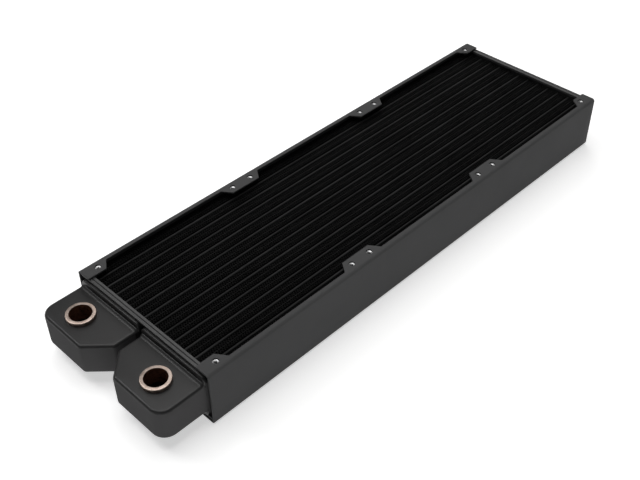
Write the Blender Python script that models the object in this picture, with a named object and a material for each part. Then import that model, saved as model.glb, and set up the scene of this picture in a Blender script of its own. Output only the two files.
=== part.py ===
"""Liquid cooling radiator for three 120 mm fans: a sheet-metal frame around a flat-tube core,
two separate port tanks at one end and a shallow return tank at the other.

Metres, +Z up, ports towards -X. The origin is under the middle of the whole radiator.
"""
import math

import bmesh
import bpy
from mathutils import Matrix, Vector

# ---- fan pattern: three fans of 105 mm hole spacing, 15 mm apart ----
HOLE_SPACING = 0.105
FAN_GAP = 0.015
SCREW_RADIUS = 0.0019
FAN_COUNT = 3

# ---- frame ----
GRID_X = 0.01625          # middle of the fan pattern
NEAR_END = GRID_X - 0.1825
FAR_END = GRID_X + 0.1815
HALF_WIDTH = 0.0585
HEIGHT = 0.039
SHEET = 0.0012
BEND_RADIUS = 0.002
FLANGE_INNER = 0.0546     # half width between the two narrow flanges
TAB_INNER = 0.0479        # half width between the screw tabs
TAB_SLOPE = 0.0047        # how far a tab's sloped end runs along X
TAB_REACH = 0.011         # half length of a tab between two fans, at its inner edge
TAB_PAST_SCREW = 0.0026   # how far a corner tab's inner edge runs past its screw hole
GAP = 0.0003              # between pieces that touch

# ---- end rails, tucked under the screw tabs ----
RAIL_WIDTH = 0.004
RAIL_INSET_NEAR = 0.0005
RAIL_INSET_FAR = 0.0002
RAIL_HALF = 0.0567
RAIL_LEG = 0.0019

# ---- core ----
TUBE_COUNT = 12
TUBE_PITCH = 0.00878
TUBE_THICK = 0.002
TUBE_WALL = 0.00035
TUBE_NEAR_END = 0.0013    # how far the tubes stand into the port tanks
TUBE_FAR_END = 0.0008     # and into the return tank
CORE_LOW = 0.0049
CORE_HIGH = HEIGHT - CORE_LOW
FIN_SHEET = 0.0003
FIN_WAVES = 14
FIN_INSET = 0.0002
FIN_END_GAP = 0.0005      # from the fins to the header plates
SIDE_PLATE = 0.0008

# ---- tanks ----
TANK_HALF = 0.0553
TANK_SPLIT = 0.0009       # from the middle plane to each port tank's foot
TANK_LOW = 0.0037
TANK_HIGH = HEIGHT - TANK_LOW
TANK_CORNER = 0.004
TANK_FOOT = 0.001         # how far a foot stands out past the frame's end
TANK_WALL = 0.0009
RETURN_WALL = 0.0008
LOBE_LOW = 0.0086
LOBE_HIGH = 0.0304
LOBE_END = GRID_X - 0.2138
LOBE_SPLIT = 0.0016
LOBE_HALF = TANK_HALF
NOTCH_DEEP = 0.0141       # the V between the two lobes, along X
NOTCH_HALF = 0.0155       # its half width at the open end
LOBE_ROUND = 0.0022

# ---- port collars: G1/4 sockets ----
PORT_X = GRID_X - 0.1988
PORT_Y = 0.0342
PORT_BORE = 0.0061
COLLAR_RADIUS = 0.0088
COLLAR_TOP = HEIGHT - 0.0062
COLLAR_BOTTOM = 0.022
SPIGOT_RADIUS = 0.0079
COLLAR_CHAMFER = 0.0005
MOUTH_CHAMFER = 0.0007

# ---- positions that follow ----
RAIL_NEAR = NEAR_END + RAIL_INSET_NEAR
RAIL_FAR = FAR_END - RAIL_INSET_FAR
PLATE_NEAR = RAIL_NEAR + RAIL_WIDTH - SHEET      # outer face of the near header plates
PLATE_FAR = RAIL_FAR - RAIL_WIDTH + SHEET        # outer face of the far header plate
CORE_NEAR = PLATE_NEAR + SHEET + FIN_END_GAP
CORE_FAR = PLATE_FAR - SHEET - FIN_END_GAP

BLACK_COAT = (0.045, 0.045, 0.047)
DARK_COAT = (0.022, 0.022, 0.023)
COPPER = (0.62, 0.42, 0.31)


def clearScene():
    for item in list(bpy.data.objects):
        bpy.data.objects.remove(item, do_unlink=True)


def finish(name, colour, roughness, metallic):
    material = bpy.data.materials.new(name + "_finish")
    material.use_nodes = True
    shader = material.node_tree.nodes["Principled BSDF"]
    shader.inputs["Base Color"].default_value = (*colour, 1.0)
    shader.inputs["Roughness"].default_value = roughness
    shader.inputs["Metallic"].default_value = metallic
    return material


def addPart(name, shape, colour=BLACK_COAT, roughness=0.55, metallic=0.0):
    """Turn a bmesh into a named object with its own finish."""
    bmesh.ops.recalc_face_normals(shape, faces=shape.faces)
    mesh = bpy.data.meshes.new(name)
    shape.to_mesh(mesh)
    shape.free()
    mesh.shade_smooth()
    mesh.set_sharp_from_angle(angle=math.radians(35))
    part = bpy.data.objects.new(name, mesh)
    bpy.context.collection.objects.link(part)
    mesh.materials.append(finish(name, colour, roughness, metallic))
    return part


def prism(outline, axis, low, high):
    """Extrude a closed outline along X, Y or Z. The outline's points use the other two axes."""
    place = {
        "X": lambda a, b, depth: (depth, a, b),
        "Y": lambda a, b, depth: (a, depth, b),
        "Z": lambda a, b, depth: (a, b, depth),
    }[axis]
    shape = bmesh.new()
    ring = [shape.verts.new(place(a, b, low)) for a, b in outline]
    base = shape.faces.new(ring)
    grown = bmesh.ops.extrude_face_region(shape, geom=[base])
    moved = [item for item in grown["geom"] if isinstance(item, bmesh.types.BMVert)]
    bmesh.ops.translate(shape, verts=moved, vec=Vector(place(0, 0, high - low)))
    bmesh.ops.recalc_face_normals(shape, faces=shape.faces)
    return shape


def arc(centre, radius, start, end, steps):
    """Points on an arc, angles in degrees."""
    points = []
    for index in range(steps + 1):
        angle = math.radians(start + (end - start) * index / steps)
        points.append((centre[0] + radius * math.cos(angle), centre[1] + radius * math.sin(angle)))
    return points


def roundedOutline(corners, steps=4):
    """A closed outline from (x, y, radius) corners, each rounded by its own radius."""
    outline = []
    count = len(corners)
    for index, (x, y, radius) in enumerate(corners):
        here = Vector((x, y))
        if radius == 0:
            outline.append((x, y))
            continue
        before = (Vector(corners[index - 1][:2]) - here).normalized()
        after = (Vector(corners[(index + 1) % count][:2]) - here).normalized()
        half = before.angle(after) / 2
        centre = here + (before + after).normalized() * (radius / math.sin(half))
        first = here + before * (radius / math.tan(half)) - centre
        last = here + after * (radius / math.tan(half)) - centre
        sweep = first.angle_signed(last)
        for step in range(steps + 1):
            turned = Matrix.Rotation(-sweep * step / steps, 2) @ first
            outline.append(tuple(centre + turned))
    return outline


def box(low, high):
    return prism([(low[0], low[1]), (high[0], low[1]), (high[0], high[1]), (low[0], high[1])],
                 "Z", low[2], high[2])


def mirrored(shape):
    """The same shape on the other side of the middle plane."""
    twin = shape.copy()
    bmesh.ops.scale(twin, verts=twin.verts, vec=(1, -1, 1))
    bmesh.ops.reverse_faces(twin, faces=twin.faces)
    return twin


def combine(target, tools, operation):
    """Apply a Boolean for each tool shape and return the result as one bmesh."""
    base = addPart("boolean_base", target)
    helpers = []
    for tool in tools:
        helper = addPart("boolean_tool", tool)
        helpers.append(helper)
        modifier = base.modifiers.new("cut", "BOOLEAN")
        modifier.operation = operation
        modifier.object = helper
    evaluated = base.evaluated_get(bpy.context.evaluated_depsgraph_get())
    result = bmesh.new()
    result.from_mesh(evaluated.to_mesh())
    for item in [base] + helpers:
        bpy.data.materials.remove(item.data.materials[0])
        bpy.data.meshes.remove(item.data)
    bmesh.ops.remove_doubles(result, verts=result.verts, dist=0.000001)
    bmesh.ops.dissolve_limit(result, angle_limit=math.radians(0.5),
                             verts=result.verts, edges=result.edges)
    return result


def screwPositions():
    """X and Y of the fan screws on one side of the frame."""
    places = []
    for fan in range(FAN_COUNT):
        middle = GRID_X + (fan - (FAN_COUNT - 1) / 2) * (HOLE_SPACING + FAN_GAP)
        places.append((middle - HOLE_SPACING / 2, HOLE_SPACING / 2))
        places.append((middle + HOLE_SPACING / 2, HOLE_SPACING / 2))
    return places


def tabOutline(start, end):
    """A screw tab seen from above; an end that reaches the frame's end isn't sloped."""
    root = FLANGE_INNER + 0.001
    slopeStart = TAB_SLOPE if start > NEAR_END else 0
    slopeEnd = TAB_SLOPE if end < FAR_END else 0
    return [(start - slopeStart, root), (start, TAB_INNER), (end, TAB_INNER), (end + slopeEnd, root)]


def tabSpans():
    """Where each tab's inner edge starts and ends along X."""
    screws = screwPositions()
    spans = [(NEAR_END, screws[0][0] + TAB_PAST_SCREW)]
    for fan in range(1, FAN_COUNT):
        middle = screws[fan * 2][0] - FAN_GAP / 2
        spans.append((middle - TAB_REACH, middle + TAB_REACH))
    return spans + [(screws[-1][0] - TAB_PAST_SCREW, FAR_END)]


def sideChannel():
    """C-section sheet: web, two bent flanges, screw tabs and screw holes."""
    outer = BEND_RADIUS
    inner = BEND_RADIUS - SHEET
    bend = HALF_WIDTH - BEND_RADIUS
    profile = [(FLANGE_INNER, HEIGHT)]
    profile += arc((bend, HEIGHT - outer), outer, 90, 0, 5)
    profile += arc((bend, outer), outer, 0, -90, 5)
    profile += [(FLANGE_INNER, 0), (FLANGE_INNER, SHEET)]
    profile += arc((bend, outer), inner, -90, 0, 4)
    profile += arc((bend, HEIGHT - outer), inner, 0, 90, 4)
    profile += [(FLANGE_INNER, HEIGHT - SHEET)]
    channel = prism(profile, "X", NEAR_END, FAR_END)
    tabs = []
    for low in (0, HEIGHT - SHEET):
        tabs += [prism(tabOutline(*span), "Z", low, low + SHEET) for span in tabSpans()]
    channel = combine(channel, tabs, "UNION")
    holes = []
    for x, y in screwPositions():
        circle = arc((x, y), SCREW_RADIUS, 0, 360, 16)[:-1]
        holes.append(prism(circle, "Z", -0.001, SHEET + 0.001))
        holes.append(prism(circle, "Z", HEIGHT - SHEET - 0.001, HEIGHT + 0.001))
    return combine(channel, holes, "DIFFERENCE")


def endRail(outerX, towardsCore, upper):
    """L-section strip across one end; its short leg points at the header plate."""
    inner = outerX + towardsCore * RAIL_WIDTH
    legStart = inner - towardsCore * SHEET
    top = HEIGHT - SHEET - GAP
    profile = [(outerX, top), (inner, top), (inner, top - RAIL_LEG), (legStart, top - RAIL_LEG),
               (legStart, top - SHEET), (outerX, top - SHEET)]
    if not upper:
        profile = [(x, HEIGHT - z) for x, z in profile]
    return prism(profile, "Y", -RAIL_HALF, RAIL_HALF)


def tubePositions():
    return [(index - (TUBE_COUNT - 1) / 2) * TUBE_PITCH for index in range(TUBE_COUNT)]


def slotOutline(middle, half, low, high, steps=4):
    """A flat tube's section: straight sides with round ends."""
    points = arc((middle, high - half), half, 0, 180, steps)
    return points + arc((middle, low + half), half, 180, 360, steps)


def flatTube(y):
    """Open-ended hollow tube with its ends inside the tanks."""
    low, high = PLATE_NEAR - TUBE_NEAR_END, PLATE_FAR + TUBE_FAR_END
    half = TUBE_THICK / 2
    outer = slotOutline(y, half, CORE_LOW, CORE_HIGH)
    inner = slotOutline(y, half - TUBE_WALL, CORE_LOW + TUBE_WALL, CORE_HIGH - TUBE_WALL)
    shape = bmesh.new()
    rings = []
    for outline, x in ((outer, low), (outer, high), (inner, high), (inner, low)):
        rings.append([shape.verts.new((x, a, b)) for a, b in outline])
    joinRings(shape, rings)
    return shape


def joinRings(shape, rings):
    """Faces between neighbouring rings, and from the last ring back to the first."""
    for ring, following in zip(rings, rings[1:] + rings[:1]):
        for index, vertex in enumerate(ring):
            after = (index + 1) % len(ring)
            shape.faces.new((vertex, ring[after], following[after], following[index]))


def headerPlate(low, high, startX, tubes):
    """Plate with one slot for each tube that passes through it."""
    outline = roundedOutline([(low, TANK_LOW, TANK_CORNER), (high, TANK_LOW, TANK_CORNER),
                              (high, TANK_HIGH, TANK_CORNER), (low, TANK_HIGH, TANK_CORNER)])
    plate = prism(outline, "X", startX, startX + SHEET)
    half = TUBE_THICK / 2 + GAP
    slots = []
    for y in tubes:
        slot = slotOutline(y, half, CORE_LOW - GAP, CORE_HIGH + GAP)
        slots.append(prism(slot, "X", startX - 0.001, startX + SHEET + 0.001))
    return combine(plate, slots, "DIFFERENCE")


def finStrip(y):
    """Corrugated strip between two tubes, as coarse zigzags."""
    gapHalf = (TUBE_PITCH - TUBE_THICK) / 2 - GAP
    swing = gapHalf - FIN_SHEET / 2
    steps = FIN_WAVES * 2
    path = []
    for index in range(steps + 1):
        x = CORE_NEAR + (CORE_FAR - CORE_NEAR) * index / steps
        path.append((x, y + (swing if index % 2 else -swing)))
    upper = [(x, side + FIN_SHEET / 2) for x, side in path]
    lower = [(x, side - FIN_SHEET / 2) for x, side in reversed(path)]
    return prism(lower + upper, "Z", CORE_LOW + FIN_INSET, CORE_HIGH - FIN_INSET)


def sidePlate():
    inner = HALF_WIDTH - SHEET - GAP - SIDE_PLATE
    return box((CORE_NEAR, inner, CORE_LOW), (CORE_FAR, inner + SIDE_PLATE, CORE_HIGH))


def lobeOutline(inset):
    """The port tank's lobe from above, inset by its wall: a V notch and one large round corner."""
    root = PLATE_NEAR - 0.002
    slot = LOBE_SPLIT + inset
    slope = math.atan2(NOTCH_HALF - LOBE_SPLIT, NOTCH_DEEP)
    shift = inset * math.tan(slope / 2)
    return roundedOutline([
        (root, slot, 0),
        (root, LOBE_HALF - inset, 0),
        (LOBE_END + inset, LOBE_HALF - inset, 0.009 - inset),
        (LOBE_END + inset, NOTCH_HALF + inset * math.tan((math.pi / 2 - slope) / 2), 0.003),
        (LOBE_END + NOTCH_DEEP - shift, slot, 0.002),
    ])


def softenRims(shape, low, high, radius):
    """Round the edges that lie in the lobe's top and bottom faces."""
    edges = []
    for edge in shape.edges:
        heights = {round(vertex.co.z, 6) for vertex in edge.verts}
        if heights in ({round(low, 6)}, {round(high, 6)}):
            edges.append(edge)
    bmesh.ops.bevel(shape, geom=edges, offset=radius, segments=3, profile=0.5, affect="EDGES",
                    clamp_overlap=True, material=-1)


def portTank():
    """Hollow foot on the header plate that narrows to the lobe that carries the port."""
    footFront = NEAR_END - TANK_FOOT
    mouth = PLATE_NEAR - GAP
    foot = prism(roundedOutline([
        (TANK_SPLIT, TANK_LOW, TANK_CORNER), (TANK_HALF, TANK_LOW, TANK_CORNER),
        (TANK_HALF, TANK_HIGH, TANK_CORNER), (TANK_SPLIT, TANK_HIGH, TANK_CORNER)]),
        "X", footFront, mouth)
    lobe = prism(lobeOutline(0), "Z", LOBE_LOW, LOBE_HIGH)
    softenRims(lobe, LOBE_LOW, LOBE_HIGH, LOBE_ROUND)
    tank = combine(foot, [lobe], "UNION")
    inside = TANK_CORNER - TANK_WALL
    footSpace = prism(roundedOutline([
        (TANK_SPLIT + TANK_WALL, TANK_LOW + TANK_WALL, inside),
        (TANK_HALF - TANK_WALL, TANK_LOW + TANK_WALL, inside),
        (TANK_HALF - TANK_WALL, TANK_HIGH - TANK_WALL, inside),
        (TANK_SPLIT + TANK_WALL, TANK_HIGH - TANK_WALL, inside)]),
        "X", footFront + TANK_WALL, mouth + 0.002)
    lobeSpace = prism(lobeOutline(TANK_WALL * 1.2), "Z", LOBE_LOW + TANK_WALL, LOBE_HIGH - TANK_WALL)
    portHole = prism(arc((PORT_X, PORT_Y), SPIGOT_RADIUS + GAP, 0, 360, 32)[:-1],
                     "Z", (LOBE_LOW + LOBE_HIGH) / 2, LOBE_HIGH + 0.001)
    return combine(tank, [footSpace, lobeSpace, portHole], "DIFFERENCE")


def returnTank():
    """Shallow pan that closes the far ends of all the tubes."""
    mouth = PLATE_FAR + GAP

    def pan(inset):
        low, high = TANK_LOW + inset, TANK_HIGH - inset
        half, corner = TANK_HALF - inset, TANK_CORNER - inset
        return roundedOutline([(-half, low, corner), (half, low, corner),
                               (half, high, corner), (-half, high, corner)])

    outside = prism(pan(0), "X", mouth, RAIL_FAR)
    space = prism(pan(RETURN_WALL), "X", mouth - 0.001, RAIL_FAR - RETURN_WALL)
    return combine(outside, [space], "DIFFERENCE")


def portCollar(side):
    """Turned socket: a proud ring on the lobe and a spigot down into the tank."""
    seat = LOBE_HIGH + GAP
    bevel = COLLAR_CHAMFER
    profile = [
        (PORT_BORE, COLLAR_BOTTOM), (SPIGOT_RADIUS, COLLAR_BOTTOM), (SPIGOT_RADIUS, seat),
        (COLLAR_RADIUS, seat), (COLLAR_RADIUS, COLLAR_TOP - bevel),
        (COLLAR_RADIUS - bevel, COLLAR_TOP), (PORT_BORE + MOUTH_CHAMFER, COLLAR_TOP),
        (PORT_BORE, COLLAR_TOP - MOUTH_CHAMFER),
    ]
    shape = bmesh.new()
    rings = []
    for radius, z in profile:
        circle = arc((PORT_X, side * PORT_Y), radius, 0, 360, 32)[:-1]
        rings.append([shape.verts.new((x, y, z)) for x, y in circle])
    joinRings(shape, rings)
    return shape


def buildFrame():
    left = sideChannel()
    addPart("side_channel_right", mirrored(left))
    addPart("side_channel_left", left)
    addPart("end_rail_near_top", endRail(RAIL_NEAR, 1, True))
    addPart("end_rail_near_bottom", endRail(RAIL_NEAR, 1, False))
    addPart("end_rail_far_top", endRail(RAIL_FAR, -1, True))
    addPart("end_rail_far_bottom", endRail(RAIL_FAR, -1, False))


def buildCore():
    tubes = tubePositions()
    for index, y in enumerate(tubes):
        addPart(f"flat_tube_{index + 1:02d}", flatTube(y), DARK_COAT, 0.5)
    rows = [y - TUBE_PITCH / 2 for y in tubes] + [tubes[-1] + TUBE_PITCH / 2]
    for index, y in enumerate(rows):
        addPart(f"fin_strip_{index + 1:02d}", finStrip(y), DARK_COAT, 0.6)
    plate = sidePlate()
    addPart("core_side_plate_right", mirrored(plate), DARK_COAT)
    addPart("core_side_plate_left", plate, DARK_COAT)


def buildTanks():
    tubes = tubePositions()
    upperHalf = [y for y in tubes if y > 0]
    plate = headerPlate(TANK_SPLIT, TANK_HALF, PLATE_NEAR, upperHalf)
    addPart("header_plate_right", mirrored(plate), DARK_COAT)
    addPart("header_plate_left", plate, DARK_COAT)
    addPart("header_plate_return", headerPlate(-TANK_HALF, TANK_HALF, PLATE_FAR - SHEET, tubes),
            DARK_COAT)
    tank = portTank()
    addPart("port_tank_right", mirrored(tank), roughness=0.4)
    addPart("port_tank_left", tank, roughness=0.4)
    addPart("return_tank", returnTank(), roughness=0.4)
    addPart("port_collar_left", portCollar(1), COPPER, 0.3, 1.0)
    addPart("port_collar_right", portCollar(-1), COPPER, 0.3, 1.0)


clearScene()
buildFrame()
buildCore()
buildTanks()
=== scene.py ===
import math
import bmesh
import bpy
from mathutils import Matrix, Vector


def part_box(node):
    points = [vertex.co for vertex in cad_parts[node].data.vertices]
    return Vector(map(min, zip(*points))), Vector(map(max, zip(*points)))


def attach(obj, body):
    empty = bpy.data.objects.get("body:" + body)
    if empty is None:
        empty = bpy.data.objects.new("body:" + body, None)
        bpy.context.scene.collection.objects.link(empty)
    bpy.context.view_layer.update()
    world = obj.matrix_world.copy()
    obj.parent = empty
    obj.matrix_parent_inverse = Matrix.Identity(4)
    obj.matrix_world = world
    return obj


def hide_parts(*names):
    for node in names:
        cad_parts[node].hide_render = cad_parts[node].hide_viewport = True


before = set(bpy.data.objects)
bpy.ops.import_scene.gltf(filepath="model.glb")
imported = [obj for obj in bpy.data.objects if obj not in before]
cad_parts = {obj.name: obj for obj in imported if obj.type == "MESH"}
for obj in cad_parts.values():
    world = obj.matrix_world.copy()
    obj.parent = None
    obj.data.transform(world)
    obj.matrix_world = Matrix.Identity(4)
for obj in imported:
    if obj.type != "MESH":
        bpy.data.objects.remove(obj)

print("radiator: model loaded")
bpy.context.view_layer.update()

# gaps small enough to count as none, in metres
snap = {
    "plane": 0.0000001,
    "seam": 0.0000005,
    "point": 0.000001,
    "weld": 0.000002,
    "loose": 0.00001,
    "run": 0.0001,            # an edge with more reach than this runs lengthwise
    "longRun": 0.01,
}


# camera, floor and light
shot = {
    "place": (-0.35649, -0.3321, 0.41833),
    "right": (0.70176, -0.71234, -0.0097),
    "down": (-0.47339, -0.4561, -0.75358),
    "lens": 54.0,
    "sensor": 36.0,
}


def setCamera():
    right = Vector(shot["right"]).normalized()
    down = Vector(shot["down"]).normalized()
    back = right.cross(-down).normalized()
    turn = Matrix((right, -down, back)).transposed().to_4x4()
    lens = bpy.data.cameras.new("studioCamera")
    lens.lens = shot["lens"]
    lens.sensor_width = shot["sensor"]
    lens.clip_start = 0.01
    camera = bpy.data.objects.new("studioCamera", lens)
    bpy.context.scene.collection.objects.link(camera)
    camera.matrix_world = Matrix.Translation(Vector(shot["place"])) @ turn
    bpy.context.scene.camera = camera


studio = {
    "floorHalf": 12.0,
    "floorDrop": 0.0004,      # under the frame's lower flanges
    "sky": (0.97, 0.98, 1.0),
    "skyStrength": 0.1,
    "target": (0, 0, 0.02),
    "lamps": [  # name, place, size, watts, colour
        ("overheadBox", (0.0, 0.1, 1.2), 1.0, 6.5, (1.0, 0.995, 0.985)),
        ("farBox", (0.95, 0.95, 1.0), 1.1, 5.0, (1.0, 0.99, 0.98)),
        ("topLeftBox", (-0.42, 0.72, 1.0), 0.5, 3.2, (1.0, 1.0, 1.0)),
    ],
}


def setLights():
    world = bpy.data.worlds.new("softSky")
    bpy.context.scene.world = world
    world.use_nodes = True
    sky = world.node_tree.nodes["Background"]
    sky.inputs["Color"].default_value = (*studio["sky"], 1)
    sky.inputs["Strength"].default_value = studio["skyStrength"]
    target = Vector(studio["target"])
    for name, place, size, watts, colour in studio["lamps"]:
        lamp = bpy.data.lights.new(name, "AREA")
        lamp.shape = "DISK"
        lamp.size = size
        lamp.energy = watts
        lamp.color = colour
        holder = bpy.data.objects.new(name, lamp)
        bpy.context.scene.collection.objects.link(holder)
        holder.location = place
        holder.rotation_euler = (target - Vector(place)).to_track_quat("-Z", "Y").to_euler()


# finishes
def freshMaterial(name):
    material = bpy.data.materials.new(name)
    material.use_nodes = True
    nodes = material.node_tree.nodes
    return material, nodes, material.node_tree.links, nodes["Principled BSDF"]


def noiseField(nodes, links, scale, detail, stretch=(1, 1, 1)):
    coords = nodes.new("ShaderNodeTexCoord")
    place = nodes.new("ShaderNodeMapping")
    place.inputs["Scale"].default_value = stretch
    noise = nodes.new("ShaderNodeTexNoise")
    noise.inputs["Scale"].default_value = scale
    noise.inputs["Detail"].default_value = detail
    links.new(coords.outputs["Object"], place.inputs["Vector"])
    links.new(place.outputs["Vector"], noise.inputs["Vector"])
    return noise


# the part of a noise field's range that carries the change
noiseLow = 0.3
noiseHigh = 0.7


def shadeBetween(nodes, links, source, dark, light):
    ramp = nodes.new("ShaderNodeValToRGB")
    ramp.color_ramp.elements[0].position = noiseLow
    ramp.color_ramp.elements[0].color = (*dark, 1)
    ramp.color_ramp.elements[1].position = noiseHigh
    ramp.color_ramp.elements[1].color = (*light, 1)
    links.new(source, ramp.inputs["Fac"])
    return ramp


def valueBetween(nodes, links, source, low, high):
    spread = nodes.new("ShaderNodeMapRange")
    spread.inputs["From Min"].default_value = noiseLow
    spread.inputs["From Max"].default_value = noiseHigh
    spread.inputs["To Min"].default_value = low
    spread.inputs["To Max"].default_value = high
    links.new(source, spread.inputs["Value"])
    return spread


def addBump(nodes, links, shader, height, strength, distance):
    bump = nodes.new("ShaderNodeBump")
    bump.inputs["Strength"].default_value = strength
    bump.inputs["Distance"].default_value = distance
    links.new(height, bump.inputs["Height"])
    links.new(bump.outputs["Normal"], shader.inputs["Normal"])


# Black paint with cloudy tone, a fine grain and small changes in gloss.
def sprayedCoat(name, look):
    material, nodes, links, shader = freshMaterial(name)
    stretch = look.get("stretch", (1, 1, 1))
    cloud = noiseField(nodes, links, look["cloudSize"], 3, stretch)
    grain = noiseField(nodes, links, look["grainSize"], 2)
    tone = shadeBetween(nodes, links, cloud.outputs["Fac"], look["dark"], look["light"])
    links.new(tone.outputs["Color"], shader.inputs["Base Color"])
    gloss = valueBetween(nodes, links, grain.outputs["Fac"], *look["rough"])
    links.new(gloss.outputs["Result"], shader.inputs["Roughness"])
    shader.inputs["Specular IOR Level"].default_value = look["specular"]
    addBump(nodes, links, shader, grain.outputs["Fac"], look["bump"], look["bumpDepth"])
    return material


# Lathe-turned metal: fine rings round the socket's axis, and a little tarnish. The thread's look
# darkens it as painted shade inside the bore.
def turnedMetal(name, look, centre):
    material, nodes, links, shader = freshMaterial(name)
    coords = nodes.new("ShaderNodeTexCoord")
    place = nodes.new("ShaderNodeMapping")
    place.inputs["Location"].default_value = (-centre[0], -centre[1], 0)
    rings = nodes.new("ShaderNodeTexWave")
    rings.wave_type = "RINGS"
    rings.rings_direction = "Z"
    rings.inputs["Scale"].default_value = look["ringScale"]
    rings.inputs["Distortion"].default_value = look["ringWander"]
    links.new(coords.outputs["Object"], place.inputs["Vector"])
    links.new(place.outputs["Vector"], rings.inputs["Vector"])
    stain = noiseField(nodes, links, look["stainSize"], 4)
    tone = shadeBetween(nodes, links, stain.outputs["Fac"], look["dark"], look["light"])
    links.new(tone.outputs["Color"], shader.inputs["Base Color"])
    gloss = valueBetween(nodes, links, stain.outputs["Fac"], *look["rough"])
    links.new(gloss.outputs["Result"], shader.inputs["Roughness"])
    shader.inputs["Metallic"].default_value = look["metal"]
    addBump(nodes, links, shader, rings.outputs["Fac"], look["bump"], look["bumpDepth"])
    return material


# Bare tapped steel, bright where the tap cut through the paint.
def bareMetal(name, look):
    material, nodes, links, shader = freshMaterial(name)
    stain = noiseField(nodes, links, look["stainSize"], 3)
    tone = shadeBetween(nodes, links, stain.outputs["Fac"], look["dark"], look["light"])
    links.new(tone.outputs["Color"], shader.inputs["Base Color"])
    gloss = valueBetween(nodes, links, stain.outputs["Fac"], *look["rough"])
    links.new(gloss.outputs["Result"], shader.inputs["Roughness"])
    shader.inputs["Metallic"].default_value = 1.0
    addBump(nodes, links, shader, stain.outputs["Fac"], look["bump"], look["bumpDepth"])
    return material


frameCoatLook = {
    "dark": (0.081, 0.081, 0.082), "light": (0.088, 0.088, 0.089),
    "cloudSize": 38, "grainSize": 2600, "rough": (0.42, 0.55),
    "specular": 0.01, "bump": 0.25, "bumpDepth": 0.00008,
}
railCoatLook = {
    "dark": (0.046, 0.046, 0.0465), "light": (0.062, 0.062, 0.0625),
    "cloudSize": 60, "grainSize": 2600, "rough": (0.4, 0.55),
    "specular": 0.5, "bump": 0.25, "bumpDepth": 0.00008,
}
tankCoatLook = {
    "dark": (0.0158, 0.0155, 0.0157), "light": (0.0212, 0.0208, 0.021),
    "cloudSize": 55, "grainSize": 1900, "rough": (0.34, 0.46),
    "specular": 0.39, "bump": 0.22, "bumpDepth": 0.00009,
}
# The lobe walls' copy of the tank coat, painted about five times lighter than the tops and without
# gloss: painted light on the sides.
litWallPaintLook = {
    "dark": (0.079, 0.078, 0.079), "light": (0.086, 0.085, 0.086),
    "cloudSize": 55, "grainSize": 1900, "rough": (0.5, 0.62),
    "specular": 0.0, "bump": 0.22, "bumpDepth": 0.00009,
}
finCoatLook = {
    "dark": (0.0052, 0.0052, 0.0053), "light": (0.0105, 0.0105, 0.0107),
    "cloudSize": 70, "grainSize": 900, "rough": (0.55, 0.75),
    "specular": 0.15, "bump": 0.2, "bumpDepth": 0.00006,
}
tubeCoatLook = {
    "dark": (0.002, 0.002, 0.0021), "light": (0.017, 0.017, 0.0174),
    "cloudSize": 110, "grainSize": 1100, "rough": (0.45, 0.65),
    "stretch": (0.2, 1, 0.3), # tone drifts slowly along each tube
    "specular": 0.17, "bump": 0.3, "bumpDepth": 0.0001,
}
collarLook = {
    "dark": (0.36, 0.28, 0.235), "light": (0.54, 0.45, 0.4),
    "ringScale": 900, "ringWander": 0.4, "stainSize": 300, "rough": (0.36, 0.5),
    "metal": 1.0, "bump": 0.12, "bumpDepth": 0.00004,
}
# The thread is the collar's brass painted near black: painted shade inside the bore.
boreShadeThreadLook = {
    "dark": (0.03, 0.01, 0.005), "light": (0.13, 0.05, 0.028),
    "ringScale": 500, "ringWander": 0.4, "stainSize": 500, "rough": (0.35, 0.6),
    "metal": 0.9, "bump": 0.1, "bumpDepth": 0.00004,
}
tapLook = {
    "dark": (0.42, 0.42, 0.425), "light": (0.62, 0.62, 0.625),
    "stainSize": 900, "rough": (0.3, 0.5), "bump": 0.15, "bumpDepth": 0.00003,
}


floorLook = {
    "dark": (0.9, 0.9, 0.9), "light": (0.93, 0.93, 0.93),
    "cloudSize": 3, "rough": 0.9, "specular": 0.1, "glow": 0.53,
}


# A pale floor that glows a little, so it stays white beside the dark radiator.
def floorMaterial():
    material, nodes, links, shader = freshMaterial("paleFloor")
    cloud = noiseField(nodes, links, floorLook["cloudSize"], 2)
    tone = shadeBetween(nodes, links, cloud.outputs["Fac"], floorLook["dark"], floorLook["light"])
    links.new(tone.outputs["Color"], shader.inputs["Base Color"])
    shader.inputs["Roughness"].default_value = floorLook["rough"]
    shader.inputs["Specular IOR Level"].default_value = floorLook["specular"]
    shader.inputs["Emission Color"].default_value = (1, 1, 1, 1)
    shader.inputs["Emission Strength"].default_value = floorLook["glow"]
    return material


# shape helpers
# Round the given edges; segments set how smooth the round is.
def softenEdges(shape, edges, width, segments=2):
    bmesh.ops.bevel(shape, geom=edges, offset=width, segments=segments, profile=0.5,
                    affect="EDGES", clamp_overlap=True, material=-1)


# A plain block to shape further, from its lowest and highest corners.
def blockShape(low, high):
    low = Vector(low)
    high = Vector(high)
    shape = bmesh.new()
    bmesh.ops.create_cube(shape, size=1.0)
    bmesh.ops.scale(shape, vec=high - low, verts=shape.verts)
    bmesh.ops.translate(shape, vec=(low + high) / 2, verts=shape.verts)
    return shape


# A closed profile drawn through points, grown into a bar along run.
def grownProfile(points, run):
    shape = bmesh.new()
    ring = [shape.verts.new(point) for point in points]
    face = shape.faces.new(ring)
    grown = bmesh.ops.extrude_face_region(shape, geom=[face])
    moved = [item for item in grown["geom"] if isinstance(item, bmesh.types.BMVert)]
    bmesh.ops.translate(shape, vec=Vector(run), verts=moved)
    bmesh.ops.recalc_face_normals(shape, faces=shape.faces)
    return shape


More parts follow.
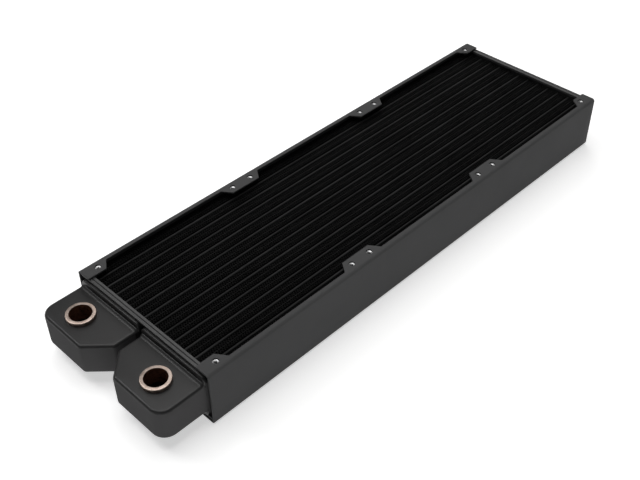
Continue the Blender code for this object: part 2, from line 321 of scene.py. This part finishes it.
# A closed profile of (radius, height) points, turned once round the upright axis.
def spunProfile(points, centre, steps):
    shape = bmesh.new()
    ring = [shape.verts.new((radius, 0, height)) for radius, height in points]
    edges = [shape.edges.new((ring[index - 1], ring[index])) for index in range(len(ring))]
    bmesh.ops.spin(shape, geom=ring + edges, cent=(0, 0, 0), axis=(0, 0, 1),
                   angle=math.tau, steps=steps, use_merge=True)
    bmesh.ops.remove_doubles(shape, verts=shape.verts, dist=snap["seam"])
    bmesh.ops.recalc_face_normals(shape, faces=shape.faces)
    bmesh.ops.translate(shape, vec=(centre[0], centre[1], 0), verts=shape.verts)
    return shape


# Put another shape's faces into target, with their own material slot.
def addShape(target, extra, slot=0):
    for face in extra.faces:
        face.material_index = slot
    carrier = bpy.data.meshes.new("carrier")
    extra.to_mesh(carrier)
    extra.free()
    target.from_mesh(carrier)
    bpy.data.meshes.remove(carrier)


# The same shape across the middle plane, for the other side of the radiator.
def flippedOver(shape):
    twin = shape.copy()
    bmesh.ops.scale(twin, vec=(1, -1, 1), verts=twin.verts)
    bmesh.ops.reverse_faces(twin, faces=twin.faces)
    return twin


def smoothFaces(mesh, angle):
    mesh.shade_smooth()
    mesh.set_sharp_from_angle(angle=math.radians(angle))


# Turn a shape into a piece that stands for the given nodes; edges over angle degrees stay sharp.
def makePiece(name, shape, materials, nodes, angle):
    mesh = bpy.data.meshes.new(name)
    shape.to_mesh(mesh)
    shape.free()
    for material in materials:
        mesh.materials.append(material)
    smoothFaces(mesh, angle)
    piece = bpy.data.objects.new(name, mesh)
    bpy.context.scene.collection.objects.link(piece)
    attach(piece, "root")
    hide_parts(*nodes)


# Run modifiers on a shape and hand back the finished shape; steps are (kind, settings).
def settledShape(shape, steps):
    mesh = bpy.data.meshes.new("settling")
    shape.to_mesh(mesh)
    shape.free()
    holder = bpy.data.objects.new("settling", mesh)
    bpy.context.scene.collection.objects.link(holder)
    for kind, settings in steps:
        modifier = holder.modifiers.new(kind.lower(), kind)
        for key, value in settings.items():
            setattr(modifier, key, value)
    evaluated = holder.evaluated_get(bpy.context.evaluated_depsgraph_get())
    result = bmesh.new()
    result.from_mesh(evaluated.to_mesh())
    bpy.data.objects.remove(holder)
    bpy.data.meshes.remove(mesh)
    return result


# Boolean the tools into or out of a shape.
def cutOrJoin(shape, tools, operation):
    steps = []
    helpers = []
    for tool in tools:
        mesh = bpy.data.meshes.new("cutter")
        tool.to_mesh(mesh)
        tool.free()
        helper = bpy.data.objects.new("cutter", mesh)
        bpy.context.scene.collection.objects.link(helper)
        helpers.append(helper)
        steps.append(("BOOLEAN", {"operation": operation, "object": helper, "solver": "EXACT"}))
    result = settledShape(shape, steps)
    for helper in helpers:
        bpy.data.meshes.remove(helper.data)
    bmesh.ops.remove_doubles(result, verts=result.verts, dist=snap["weld"])
    bmesh.ops.dissolve_limit(result, angle_limit=math.radians(0.4), verts=result.verts,
                             edges=result.edges)
    return result


# side channels: folded sheet with screw tabs
channel = {
    "sheet": 0.0012,
    "bend": 0.002,
    "flangeWidth": 0.0039,
    "tabDepth": 0.0067,       # from the flange's edge to the tab's edge
    "tabSlope": 0.0047,
    "tabReach": 0.011,
    "tabPastScrew": 0.0026,
    "firstScrew": 0.01,       # from the frame's near end
    "holeSpacing": 0.105,
    "fanGap": 0.015,
    "fans": 3,
    "screwInset": 0.006,
    "holeRadius": 0.0019,
    "holeSteps": 32,
    "holeCell": 0.0024,       # half width of the square cleared round a hole
    "edgeRound": 0.00016,
    "bendSteps": 7,
}


# X of the six fan screws along one side.
def screwRow(nearEnd):
    places = []
    for fan in range(channel["fans"]):
        first = nearEnd + channel["firstScrew"] + fan * (channel["holeSpacing"] + channel["fanGap"])
        places.append(first)
        places.append(first + channel["holeSpacing"])
    return places


# Start, end and sloped start and end of each screw tab.
def tabSpans(nearEnd, farEnd):
    screws = screwRow(nearEnd)
    slope = channel["tabSlope"]
    nearStop = screws[0] + channel["tabPastScrew"]
    farStart = screws[-1] - channel["tabPastScrew"]
    spans = [(nearEnd, nearStop, nearEnd, nearStop + slope)]
    for left, right in ((screws[1], screws[2]), (screws[3], screws[4])):
        middle = (left + right) / 2
        start = middle - channel["tabReach"]
        end = middle + channel["tabReach"]
        spans.append((start, end, start - slope, end + slope))
    spans.append((farStart, farEnd, farStart - slope, farEnd))
    return spans


def cutAcross(shape, point, normal):
    geometry = shape.verts[:] + shape.edges[:] + shape.faces[:]
    bmesh.ops.bisect_plane(shape, geom=geometry, dist=snap["plane"], plane_co=point, plane_no=normal)


# The channel's outer skin as one open sheet: flange, web and flange, then tabs and holes.
def foldedSheet(low, high):
    flangeEdge = high.y - channel["flangeWidth"]
    near, far = low.x, high.x
    shape = bmesh.new()
    first = shape.verts.new((near, flangeEdge, high.z))
    last = shape.verts.new((far, flangeEdge, high.z))
    edge = shape.edges.new((first, last))
    for move in ((0, high.y - flangeEdge, 0), (0, 0, low.z - high.z), (0, flangeEdge - high.y, 0)):
        grown = bmesh.ops.extrude_edge_only(shape, edges=[edge])
        moved = [item for item in grown["geom"] if isinstance(item, bmesh.types.BMVert)]
        bmesh.ops.translate(shape, vec=move, verts=moved)
        edge = [item for item in grown["geom"] if isinstance(item, bmesh.types.BMEdge)
                and all(vertex in moved for vertex in item.verts)][0]
    bends = [item for item in shape.edges if len(item.link_faces) == 2]
    softenEdges(shape, bends, channel["bend"], channel["bendSteps"])
    for start, end, rootStart, rootEnd in tabSpans(near, far):
        for x in {start, end, rootStart, rootEnd}:
            if near < x < far:
                cutAcross(shape, (x, 0, 0), (1, 0, 0))
    for start, end, rootStart, rootEnd in tabSpans(near, far):
        growTab(shape, flangeEdge, start, end, rootStart, rootEnd)
    screwY = high.y - channel["screwInset"]
    half = channel["holeCell"]
    for offset in (-half, half):
        cutAcross(shape, (0, screwY + offset, 0), (0, 1, 0))
        for x in screwRow(near):
            cutAcross(shape, (x + offset, 0, 0), (1, 0, 0))
    for x in screwRow(near):
        for height in (high.z, low.z):
            openScrewHole(shape, Vector((x, screwY, height)))
    bmesh.ops.recalc_face_normals(shape, faces=shape.faces)
    if sum(face.normal.y * face.calc_area() for face in shape.faces) < 0:
        bmesh.ops.reverse_faces(shape, faces=shape.faces)
    return shape


# Pull the flange's free edge inwards into one tab with sloped ends.
def growTab(shape, flangeEdge, start, end, rootStart, rootEnd):
    edges = []
    for edge in shape.edges:
        middle = (edge.verts[0].co + edge.verts[1].co) / 2
        free = len(edge.link_faces) == 1 and abs(middle.y - flangeEdge) < snap["point"]
        if free and rootStart < middle.x < rootEnd:
            edges.append(edge)
    grown = bmesh.ops.extrude_edge_only(shape, edges=edges)
    moved = [item for item in grown["geom"] if isinstance(item, bmesh.types.BMVert)]
    bmesh.ops.translate(shape, vec=(0, -channel["tabDepth"], 0), verts=moved)
    for vertex in moved:
        vertex.co.x = min(max(vertex.co.x, start), end)
    bmesh.ops.remove_doubles(shape, verts=moved, dist=snap["point"])


# Clear the small square cell round a screw's place and fill it again round a circle.
def openScrewHole(shape, centre):
    half = channel["holeCell"]
    quarter = channel["holeSteps"] // 4
    inside = [face for face in shape.faces
              if all(abs(gap) < half for gap in face.calc_center_median() - centre)]
    bmesh.ops.delete(shape, geom=inside, context="FACES")
    circle = []
    for step in range(quarter * 4):
        turn = math.tau * step / (quarter * 4)
        spoke = Vector((math.cos(turn), math.sin(turn), 0))
        circle.append(shape.verts.new(centre + spoke * channel["holeRadius"]))
    for side in range(4):
        turn = math.pi / 2 * (side + 1)
        outward = Vector((math.cos(turn), math.sin(turn), 0))
        along = Vector((-outward.y, outward.x, 0))
        border = [vertex for vertex in shape.verts
                  if abs((vertex.co - centre).dot(outward) - half) < snap["point"]
                  and abs((vertex.co - centre).dot(along)) < half + snap["point"]
                  and abs(vertex.co.z - centre.z) < snap["point"]]
        border.sort(key=lambda vertex: (vertex.co - centre).dot(along))
        for step in range(side * quarter, (side + 1) * quarter):
            shape.faces.new((border[0], circle[(step + 1) % len(circle)], circle[step]))
        shape.faces.new(border + [circle[(side + 1) * quarter % len(circle)]])


tap = {
    "turns": 2,
    "pitch": 0.0005,
    "mouth": 0.00162,
    "throat": 0.00092,
    "cut": 0.00014,
    "collarRadius": 0.0024,
    "mouthRim": 0.00012,
    "throatRim": 0.0001,
    "mouthDepth": 0.0008,
    "throatDepth": 0.0013,
    "threadDepth": 0.0014,
    "threadTail": 0.0016,
    "sheetGap": 0.0001,       # between the sheet and the collar behind it
    "holeGap": 0.00003,
    "steps": 28,
}


# A short threaded collar behind a tab's hole; inward is -1 for the upper tabs.
def screwThread(x, y, face, inward):
    mouth = face + inward * tap["mouthDepth"]
    behind = face + inward * (channel["sheet"] + tap["sheetGap"])
    bottom = face + inward * (tap["threadTail"] + tap["turns"] * tap["pitch"])
    points = [
        (tap["mouth"] + tap["mouthRim"], mouth),
        (tap["mouth"], mouth),
        (tap["throat"], face + inward * tap["throatDepth"]),
    ]
    for turn in range(tap["turns"]):
        depth = tap["threadDepth"] + turn * tap["pitch"]
        points.append((tap["throat"] + tap["cut"], face + inward * (depth + tap["pitch"] * 0.3)))
        points.append((tap["throat"], face + inward * (depth + tap["pitch"] * 0.8)))
    points += [
        (tap["throat"] + tap["throatRim"], bottom),
        (tap["collarRadius"], bottom),
        (tap["collarRadius"], behind),
        (channel["holeRadius"] + tap["holeGap"], behind),
    ]
    return spunProfile(points, (x, y), tap["steps"])


def buildChannels():
    low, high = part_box("side_channel_left")
    screwY = high.y - channel["screwInset"]
    shape = settledShape(foldedSheet(low, high), [
        ("SOLIDIFY", {"thickness": channel["sheet"], "offset": -1, "use_even_offset": True}),
        ("BEVEL", {"width": channel["edgeRound"], "segments": 2, "limit_method": "ANGLE",
                   "angle_limit": math.radians(50), "profile": 0.5, "use_clamp_overlap": True}),
    ])
    for x in screwRow(low.x):
        addShape(shape, screwThread(x, screwY, high.z, -1), 1)
        addShape(shape, screwThread(x, screwY, low.z, 1), 1)
    materials = [frameCoat, tapMetal]
    makePiece("rightChannel", flippedOver(shape), materials, ["side_channel_right"], 40)
    makePiece("leftChannel", shape, materials, ["side_channel_left"], 40)


# end rails: narrow folded strips under the tabs
rail = {
    "sheet": 0.0012,
    "leg": 0.0019,
    "groove": 0.0004,         # half width of the fold line
    "grooveDepth": 0.0006,
    "edgeRound": 0.0003,
}


def buildRails():
    for node, towardsCore in (("end_rail_near_top", 1), ("end_rail_near_bottom", 1),
                              ("end_rail_far_top", -1), ("end_rail_far_bottom", -1)):
        low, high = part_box(node)
        upper = "top" in node
        outerX = low.x if towardsCore > 0 else high.x
        innerX = high.x if towardsCore > 0 else low.x
        face = high.z if upper else low.z
        down = -1 if upper else 1
        middle = (outerX + innerX) / 2
        half = rail["groove"] * towardsCore
        points = [
            (outerX, face),
            (middle - half, face),
            (middle, face + down * rail["grooveDepth"]),
            (middle + half, face),
            (innerX, face),
            (innerX, face + down * rail["leg"]),
            (innerX - towardsCore * rail["sheet"], face + down * rail["leg"]),
            (innerX - towardsCore * rail["sheet"], face + down * rail["sheet"]),
            (outerX, face + down * rail["sheet"]),
        ]
        shape = grownProfile([(x, low.y, z) for x, z in points], (0, high.y - low.y, 0))
        rims = []
        for edge in shape.edges:
            start, end = edge.verts[0].co, edge.verts[1].co
            atRim = min(abs(start.x - outerX), abs(start.x - innerX)) < snap["point"]
            if abs(start.y - end.y) > snap["longRun"] and atRim:
                rims.append(edge)
        softenEdges(shape, rims, rail["edgeRound"], 3)
        makePiece(node.replace("end_rail", "rail"), shape, [railCoat], [node], 30)


# core: flat tubes and folded fins
tube = {
    "round": 0.00094,
    "segments": 4,
}
fin = {
    "pitch": 0.0016,
    "foil": 0.00012,
    "crestRound": 0.0003,
    "divider": 0.0002,
    "dividerDrop": 0.0001,
}


def tubeNames():
    return sorted(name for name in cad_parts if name.startswith("flat_tube"))


def finNames():
    return sorted(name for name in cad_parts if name.startswith("fin_strip"))


def buildTubes():
    for node in tubeNames():
        low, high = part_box(node)
        shape = blockShape(low, high)
        edges = [edge for edge in shape.edges
                 if abs(edge.verts[0].co.x - edge.verts[1].co.x) > snap["longRun"]]
        softenEdges(shape, edges, tube["round"], tube["segments"])
        makePiece(node.replace("flat_tube", "tube"), shape, [tubeCoat], [node], 50)


# One row of folded foil between two upright walls at y inner and y outer.
def foldedFin(low, high, inner, outer):
    folds = round((high.x - low.x) / fin["pitch"]) * 2
    shape = bmesh.new()
    bmesh.ops.create_grid(shape, x_segments=folds, y_segments=1, size=0.5)
    bmesh.ops.rotate(shape, cent=(0, 0, 0), matrix=Matrix.Rotation(math.pi / 2, 3, "X"),
                     verts=shape.verts)
    bmesh.ops.scale(shape, vec=(high.x - low.x, 1, high.z - low.z), verts=shape.verts)
    bmesh.ops.translate(shape, vec=((low.x + high.x) / 2, 0, (low.z + high.z) / 2),
                        verts=shape.verts)
    step = (high.x - low.x) / folds
    for vertex in shape.verts:
        fold = round((vertex.co.x - low.x) / step)
        vertex.co.y = outer if fold % 2 else inner
    crests = [edge for edge in shape.edges
              if len(edge.link_faces) == 2
              and abs(edge.verts[0].co.z - edge.verts[1].co.z) > snap["run"]]
    softenEdges(shape, crests, fin["crestRound"], 2)
    return settledShape(shape, [("SOLIDIFY", {"thickness": fin["foil"], "offset": 0,
                                              "use_even_offset": False})])


def buildFins():
    names = finNames()
    low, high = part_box(names[0])
    middle = (low.y + high.y) / 2
    wall = fin["divider"] / 2 + fin["foil"] / 2
    strip = foldedFin(low, high, middle + wall, high.y - fin["foil"] / 2)
    addShape(strip, foldedFin(low, high, middle - wall, low.y + fin["foil"] / 2))
    divider = blockShape((low.x, middle - fin["divider"] / 2, low.z + fin["dividerDrop"]),
                         (high.x, middle + fin["divider"] / 2, high.z + fin["dividerDrop"]))
    addShape(strip, divider, 1)
    for node in names:
        nodeLow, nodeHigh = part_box(node)
        row = strip.copy()
        bmesh.ops.translate(row, vec=(0, nodeLow.y - low.y, 0), verts=row.verts)
        makePiece(node.replace("fin_strip", "fins"), row, [finCoat, tubeCoat], [node],
                  50)
    strip.free()


# port tanks: foot on the header plate and a lobe that carries the socket
tank = {
    "footCorner": 0.004,
    "footRound": 0.0009,
    "footOut": 0.001,         # past the frame's end
    "lobeHigh": 0.0304,
    "lobeLow": 0.0086,
    "lobeSlot": 0.0016,
    "notchHalf": 0.0155,
    "notchDeep": 0.0141,
    "outerCorner": 0.009,
    "notchCorner": 0.003,
    "slotCorner": 0.0026,
    "cornerSteps": 10,
    "rimSteps": 6,
    "rootIn": 0.003,          # how far the lobe reaches into the foot
    "rim": 0.0021,
    "flareRun": 0.0022,
    "flareRise": 0.0013,
    "flareSteps": 7,
    "flareCurve": 1.7,
    "flareIn": 0.0012,
    "flareClear": 0.00003,
    "uprightLean": 0.2,
    "wallClear": 0.0003,
    "pocketRadius": 0.00805,
    "pocketFloor": 0.0098,
    "pocketHeight": 0.04,
}


# The lobe from above, pulled up, with its corners and then its rims rounded.
def lobeShape(low, high, root):
    half = high.y
    corners = [
        ((root, tank["lobeSlot"]), 0),
        ((root, half), 0),
        ((low.x, half), tank["outerCorner"]),
        ((low.x, tank["notchHalf"]), tank["notchCorner"]),
        ((low.x + tank["notchDeep"], tank["lobeSlot"]), tank["slotCorner"]),
    ]
    points = [(x, y, tank["lobeLow"]) for (x, y), radius in corners]
    shape = grownProfile(points, (0, 0, tank["lobeHigh"] - tank["lobeLow"]))
    for index, ((x, y), radius) in enumerate(corners):
        if radius == 0:
            continue
        here = Vector((x, y))
        before = Vector(corners[index - 1][0]) - here
        after = Vector(corners[(index + 1) % len(corners)][0]) - here
        run = radius / math.tan(before.angle(after) / 2)
        upright = [edge for edge in shape.edges
                   if all((vertex.co.xy - here).length < snap["loose"] for vertex in edge.verts)]
        bmesh.ops.bevel(shape, geom=upright, offset=run, offset_type="ABSOLUTE",
                        segments=tank["cornerSteps"], profile=0.5, affect="EDGES",
                        clamp_overlap=False, material=-1)
    rims = []
    for edge in shape.edges:
        heights = {round(vertex.co.z, 6) for vertex in edge.verts}
        atRoot = all(abs(vertex.co.x - root) < snap["loose"] for vertex in edge.verts)
        if len(heights) == 1 and not atRoot:
            rims.append(edge)
    softenEdges(shape, rims, tank["rim"], tank["rimSteps"])
    return shape


# Foot and lobe joined into one solid.
def portTankShape(low, high, footFront):
    foot = blockShape((footFront, low.y, low.z), (high.x, high.y, high.z))
    lengthwise = [edge for edge in foot.edges
                  if abs(edge.verts[0].co.x - edge.verts[1].co.x) > snap["run"]]
    softenEdges(foot, lengthwise, tank["footCorner"], tank["rimSteps"])
    front = [edge for edge in foot.edges
             if all(abs(vertex.co.x - footFront) < snap["point"] for vertex in edge.verts)]
    softenEdges(foot, front, tank["footRound"], 4)
    lobe = lobeShape(low, high, footFront + tank["rootIn"])
    return cutOrJoin(foot, [lobe], "UNION")


# The lobe's root swells gently towards the foot, like a drawn and soldered shoulder.
def shoulderShape(high, footFront):
    start = footFront - tank["flareRun"]
    shape = blockShape((start, tank["lobeSlot"], tank["lobeLow"]),
                       (footFront + tank["flareIn"], high.y - tank["flareClear"],
                        tank["lobeHigh"]))
    lengthwise = [edge for edge in shape.edges
                  if abs(edge.verts[0].co.x - edge.verts[1].co.x) > snap["run"]]
    softenEdges(shape, lengthwise, tank["rim"], tank["rimSteps"])
    for step in range(1, tank["flareSteps"]):
        cutAcross(shape, (start + tank["flareRun"] * step / tank["flareSteps"], 0, 0), (1, 0, 0))
    middle = (tank["lobeLow"] + tank["lobeHigh"]) / 2
    half = (tank["lobeHigh"] - tank["lobeLow"]) / 2
    width = high.y - tank["lobeSlot"]
    for vertex in shape.verts:
        along = min((vertex.co.x - start) / tank["flareRun"], 1)
        rise = tank["flareRise"] * along ** tank["flareCurve"]
        vertex.co.z = middle + (vertex.co.z - middle) * (1 + rise / half)
        vertex.co.y = high.y + (vertex.co.y - high.y) * (1 + rise * 0.5 / width)
    return shape


# The lobe's upright walls take a matte copy of the tank coat painted much lighter than the tops:
# painted light on the sides. The coat's gloss stays only on tops and rims.
def paintLitWalls(shape, middle, footFront):
    shape.normal_update()
    for face in shape.faces:
        centre = face.calc_center_median()
        upright = abs(face.normal.z) < tank["uprightLean"]
        outside = (centre.xy - middle.xy).length > tank["pocketRadius"] + tank["wallClear"]
        if upright and outside and centre.x < footFront - tank["wallClear"]:
            face.material_index = 1


def buildPortTanks():
    low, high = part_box("port_tank_left")
    channelLow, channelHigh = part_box("side_channel_left")
    footFront = channelLow.x - tank["footOut"]
    shape = portTankShape(low, high, footFront)
    collarLow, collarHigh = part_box("port_collar_left")
    middle = (collarLow + collarHigh) / 2
    pocket = bmesh.new()
    bmesh.ops.create_cone(pocket, cap_ends=True, segments=48, radius1=tank["pocketRadius"],
                          radius2=tank["pocketRadius"], depth=tank["pocketHeight"])
    pocketMiddle = tank["pocketFloor"] + tank["pocketHeight"] / 2
    bmesh.ops.translate(pocket, vec=(middle.x, middle.y, pocketMiddle), verts=pocket.verts)
    shape = cutOrJoin(shape, [pocket], "DIFFERENCE")
    paintLitWalls(shape, middle, footFront)
    addShape(shape, shoulderShape(high, footFront))
    # slot 1 is the wall paint that carries painted light on the sides
    materials = [tankCoat, litWallPaintCoat]
    makePiece("rightPortTank", flippedOver(shape), materials, ["port_tank_right"], 32)
    makePiece("leftPortTank", shape, materials, ["port_tank_left"], 32)


# port collars: turned sockets with a thread
collar = {
    "flangeDrop": 0.0024,
    "spigotRadius": 0.0079,
    "chamfer": 0.0006,
    "boreRadius": 0.0061,
    "mouthRadius": 0.0068,
    "threadDepth": 0.00062,
    "threadPitch": 0.00134,
    "threadStart": 0.0004,    # above the spigot's lower end
    "threadStop": 0.0012,     # kept plain under the mouth
    "mouthBreak": 0.00012,
    "mouthDrop": 0.0009,
    "seatOverlap": 0.0003,
    "skin": 0.0001,           # the sleeve stays this far inside the ring
    "steps": 72,
}


def buildCollars():
    for side in ("left", "right"):
        low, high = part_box("port_collar_" + side)
        middle = (low + high) / 2
        outer = (high.x - low.x) / 2
        chamfer = collar["chamfer"]
        bore = collar["boreRadius"]
        top = high.z
        seat = top - collar["flangeDrop"]
        spigot = collar["spigotRadius"]
        mouth = collar["mouthRadius"]
        skin = collar["skin"]
        ring = [
            (spigot, seat),
            (outer, seat),
            (outer, top - chamfer * 0.7),
            (outer - chamfer * 0.25, top - chamfer * 0.2),
            (outer - chamfer * 0.8, top),
            (mouth, top),
            (mouth - collar["mouthBreak"], top - collar["mouthBreak"]),
            (spigot - collar["seatOverlap"], top - collar["mouthDrop"]),
        ]
        shape = spunProfile(ring, middle.xy, collar["steps"])
        sleeve = [(spigot, seat + collar["seatOverlap"]), (spigot, low.z), (bore, low.z)]
        turns = int((top - low.z - collar["threadStop"]) / collar["threadPitch"])
        for turn in range(turns):
            height = low.z + collar["threadStart"] + turn * collar["threadPitch"]
            sleeve.append((bore, height))
            sleeve.append((bore + collar["threadDepth"], height + collar["threadPitch"] * 0.45))
            sleeve.append((bore, height + collar["threadPitch"] * 0.9))
        sleeve.append((mouth - skin, top - skin))
        sleeve.append((spigot - skin * 2, top - collar["mouthDrop"] + skin))
        addShape(shape, spunProfile(sleeve, middle.xy, collar["steps"]), 1)
        materials = [
            turnedMetal(side + "CollarMetal", collarLook, middle),
            # the thread metal is painted dark as painted shade in the bore
            turnedMetal(side + "ShadedThreadMetal", boreShadeThreadLook, middle),
        ]
        makePiece(side + "Collar", shape, materials, ["port_collar_" + side], 25)


# return tank: shallow pan at the far end
pan = {
    "corner": 0.004,
    "rim": 0.0012,
}


def buildReturnTank():
    low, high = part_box("return_tank")
    shape = blockShape(low, high)
    lengthwise = [edge for edge in shape.edges
                  if abs(edge.verts[0].co.x - edge.verts[1].co.x) > snap["run"]]
    softenEdges(shape, lengthwise, pan["corner"], 6)
    outer = [edge for edge in shape.edges
             if all(abs(vertex.co.x - high.x) < snap["point"] for vertex in edge.verts)]
    softenEdges(shape, outer, pan["rim"], 4)
    makePiece("returnTank", shape, [tankCoat], ["return_tank"], 35)


# Header plates and side plates keep their own shape and get the tubes' paint.
def dressKeptNodes():
    for node in ("header_plate_left", "header_plate_right", "header_plate_return",
                 "core_side_plate_left", "core_side_plate_right"):
        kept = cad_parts[node]
        for slot in kept.material_slots:
            slot.material = tubeCoat


def layFloor():
    shape = bmesh.new()
    bmesh.ops.create_grid(shape, x_segments=2, y_segments=2, size=studio["floorHalf"])
    bmesh.ops.translate(shape, vec=(0, 0, -studio["floorDrop"]), verts=shape.verts)
    mesh = bpy.data.meshes.new("studioFloor")
    shape.to_mesh(mesh)
    shape.free()
    mesh.materials.append(floorMaterial())
    floor = bpy.data.objects.new("studioFloor", mesh)
    bpy.context.scene.collection.objects.link(floor)


bpy.context.scene.view_settings.view_transform = "Standard"
setCamera()
setLights()
layFloor()
print("radiator: studio ready")
frameCoat = sprayedCoat("frameCoat", frameCoatLook)
railCoat = sprayedCoat("railCoat", railCoatLook)
tankCoat = sprayedCoat("tankCoat", tankCoatLook)
# the lobe walls' coat carries painted light: much lighter than the tank tops
litWallPaintCoat = sprayedCoat("litWallPaintCoat", litWallPaintLook)
finCoat = sprayedCoat("finCoat", finCoatLook)
tubeCoat = sprayedCoat("tubeCoat", tubeCoatLook)
tapMetal = bareMetal("tapMetal", tapLook)
buildChannels()
print("radiator: side channels folded")
buildRails()
print("radiator: end rails laid")
buildTubes()
buildFins()
print("radiator: tubes and fins in place")
buildPortTanks()
buildCollars()
buildReturnTank()
dressKeptNodes()
print("radiator: tanks and sockets in place")
